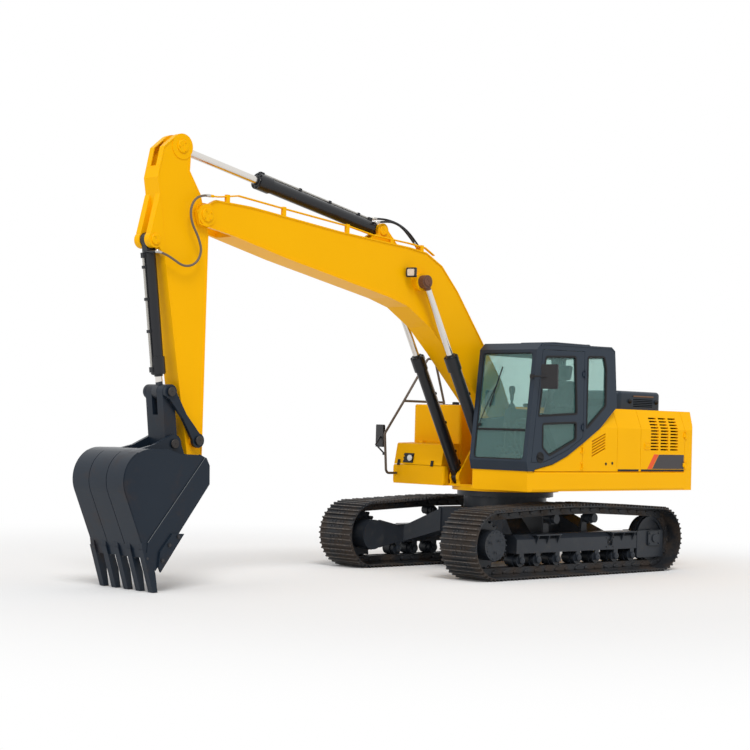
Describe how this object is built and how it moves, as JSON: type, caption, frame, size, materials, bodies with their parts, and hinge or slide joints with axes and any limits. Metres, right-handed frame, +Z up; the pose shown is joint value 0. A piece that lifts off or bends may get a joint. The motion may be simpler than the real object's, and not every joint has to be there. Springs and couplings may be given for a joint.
{
  "type": "crawler excavator",
  "caption": "Crawler excavator with a one-piece boom, toothed bucket, side cab and rounded counterweight, standing with its arm upright and the bucket's teeth at the ground.",
  "frame": {"origin": "on the ground under the middle of the whole machine's box; the swing axis is 1.98 m behind it", "axes": "+X toward the bucket, +Y toward the cab's side (the machine's left), +Z up"},
  "size_m": [9.4599, 3.3346, 5.11],
  "materials": {
    "yellow_paint": "satin",
    "dark_paint": "satin",
    "steel_blue_paint": "satin",
    "track_steel": "worn",
    "chrome_rod": "polished",
    "cylinder_black": "satin",
    "tinted_glass": "gloss",
    "seat_fabric": "matte",
    "console_plastic": "matte",
    "rail_paint": "satin",
    "hose_rubber": "matte",
    "mirror_housing": "matte"
  },
  "bodies": {
    "undercarriage": {"track_left": "track_steel", "track_right": "track_steel", "sprockets": "steel_blue_paint", "final_drives": "steel_blue_paint", "idlers": "steel_blue_paint", "track_rollers": "steel_blue_paint", "carrier_rollers": "steel_blue_paint", "track_frame_left": "steel_blue_paint", "track_frame_right": "steel_blue_paint", "carbody": "steel_blue_paint", "swing_bearing": "steel_blue_paint"},
    "house": {"house_frame": "yellow_paint", "counterweight": "yellow_paint", "engine": "dark_paint", "body_panels": "yellow_paint", "side_panel": "yellow_paint", "cooler": "dark_paint", "fuel_tank": "yellow_paint", "tool_box": "yellow_paint", "cab_frame": "dark_paint", "cab_glass": "tinted_glass", "seat": "seat_fabric", "consoles": "console_plastic", "handrail": "rail_paint", "mirror_left": "mirror_housing", "mirror_right": "mirror_housing", "swing_drive": "dark_paint"},
    "boom": {"boom": "yellow_paint", "boom_pipes": "yellow_paint", "arm_cylinder_ears": "yellow_paint", "boom_lamp": "mirror_housing", "arm_hose_side": "hose_rubber", "arm_hose_middle": "hose_rubber", "nose_hose": "hose_rubber"},
    "arm": {"arm": "yellow_paint", "bucket_cylinder_ears": "yellow_paint"},
    "bucket": {"bucket": "steel_blue_paint"},
    "guide_links": {"guide_links": "steel_blue_paint"},
    "bucket_link": {"bucket_link": "steel_blue_paint"},
    "boom_barrels": {"boom_cylinder_barrel": "cylinder_black"},
    "boom_rods": {"boom_cylinder_rod": "chrome_rod"},
    "arm_barrel": {"arm_cylinder_barrel": "cylinder_black"},
    "arm_rod": {"arm_cylinder_rod": "chrome_rod"},
    "bucket_barrel": {"bucket_cylinder_barrel": "cylinder_black"},
    "bucket_rod": {"bucket_cylinder_rod": "chrome_rod"},
    "cab_door": {"cab_door": "dark_paint", "door_glass": "tinted_glass"},
    "service_door": {"service_door": "yellow_paint"},
    "grille_door": {"grille_door": "yellow_paint"},
    "pump_door": {"pump_door": "yellow_paint"},
    "engine_hood": {"engine_hood": "dark_paint"},
    "tool_box_lid": {"tool_box_lid": "yellow_paint", "lid_lamp": "mirror_housing"}
  },
  "joints": [
    {"name": "slew", "type": "hinge", "parent": "undercarriage", "child": "house", "pos_m": [-1.98, 0, 1.05], "axis": [0, 0, 1], "continuous": true},
    {"name": "boom_lift", "type": "hinge", "parent": "house", "child": "boom", "pos_m": [-1.83, 0, 1.78], "axis": [0, -1, 0], "range_deg": [-65, 40]},
    {"name": "arm_swing", "type": "hinge", "parent": "boom", "child": "arm", "pos_m": [3.469, 0, 4.221], "axis": [0, 1, 0], "range_deg": [-85, 35]},
    {"name": "bucket_curl", "type": "hinge", "parent": "arm", "child": "bucket", "pos_m": [3.48, 0, 1.296], "axis": [0, 1, 0], "range_deg": [-5, 150]},
    {"name": "guide_swing", "type": "hinge", "parent": "arm", "child": "guide_links", "pos_m": [3.514, 0, 1.656], "axis": [0, 1, 0], "range_deg": [-5, 120]},
    {"name": "link_swing", "type": "hinge", "parent": "bucket", "child": "bucket_link", "pos_m": [3.859, 0, 1.617], "axis": [0, 1, 0], "range_deg": [-100, 5]},
    {"name": "boom_barrel_swing", "type": "hinge", "parent": "house", "child": "boom_barrels", "pos_m": [-1.36, 0, 1.22], "axis": [0, -1, 0], "range_deg": [-66, 41]},
    {"name": "boom_rod_slide", "type": "slide", "parent": "boom_barrels", "child": "boom_rods", "axis": [0.4779, 0, 0.8784], "range_m": [-0.74, 0.46]},
    {"name": "arm_barrel_swing", "type": "hinge", "parent": "boom", "child": "arm_barrel", "pos_m": [0.57, 0, 4.33], "axis": [0, 1, 0], "range_deg": [-4, 2]},
    {"name": "arm_rod_slide", "type": "slide", "parent": "arm_barrel", "child": "arm_rod", "axis": [0.9813, 0, 0.1926], "range_m": [-1.03, 0.43]},
    {"name": "bucket_barrel_swing", "type": "hinge", "parent": "arm", "child": "bucket_barrel", "pos_m": [4.151, 0, 3.885], "axis": [0, 1, 0], "range_deg": [-8, 1]},
    {"name": "bucket_rod_slide", "type": "slide", "parent": "bucket_barrel", "child": "bucket_rod", "axis": [-0.132, 0, -0.9912], "range_m": [-0.05, 1.2]},
    {"name": "cab_door_swing", "type": "hinge", "parent": "house", "child": "cab_door", "pos_m": [-1.92, 1.382, 2.2], "axis": [0, 0, 1], "range_deg": [0, 165]},
    {"name": "service_door_swing", "type": "hinge", "parent": "house", "child": "service_door", "pos_m": [-1.935, 1.367, 1.7], "axis": [0, 0, 1], "range_deg": [-100, 0]},
    {"name": "grille_door_swing", "type": "hinge", "parent": "house", "child": "grille_door", "pos_m": [-4.183, 1.367, 1.8], "axis": [0, 0, 1], "range_deg": [0, 100]},
    {"name": "pump_door_swing", "type": "hinge", "parent": "house", "child": "pump_door", "pos_m": [-3.477, -1.367, 1.8], "axis": [0, 0, -1], "range_deg": [0, 100]},
    {"name": "hood_lift", "type": "hinge", "parent": "house", "child": "engine_hood", "pos_m": [-3.157, 0.15, 2.202], "axis": [0, 1, 0], "range_deg": [0, 65]},
    {"name": "tool_lid_lift", "type": "hinge", "parent": "house", "child": "tool_box_lid", "pos_m": [-1.528, -0.895, 1.676], "axis": [0, -1, 0], "range_deg": [0, 60]}
  ],
  "couplings": [
    {"joint": "guide_swing", "follows": "bucket_curl", "ratio": 0.7785},
    {"joint": "link_swing", "follows": "bucket_curl", "ratio": -0.619},
    {"joint": "bucket_barrel_swing", "follows": "bucket_curl", "ratio": -0.0425},
    {"joint": "bucket_rod_slide", "follows": "bucket_curl", "m_per_rad": 0.4485},
    {"joint": "boom_barrel_swing", "follows": "boom_lift", "ratio": 0.9835},
    {"joint": "boom_rod_slide", "follows": "boom_lift", "m_per_rad": 0.642},
    {"joint": "arm_barrel_swing", "follows": "arm_swing", "ratio": 0.0225},
    {"joint": "arm_rod_slide", "follows": "arm_swing", "m_per_rad": 0.6845}
  ]
}
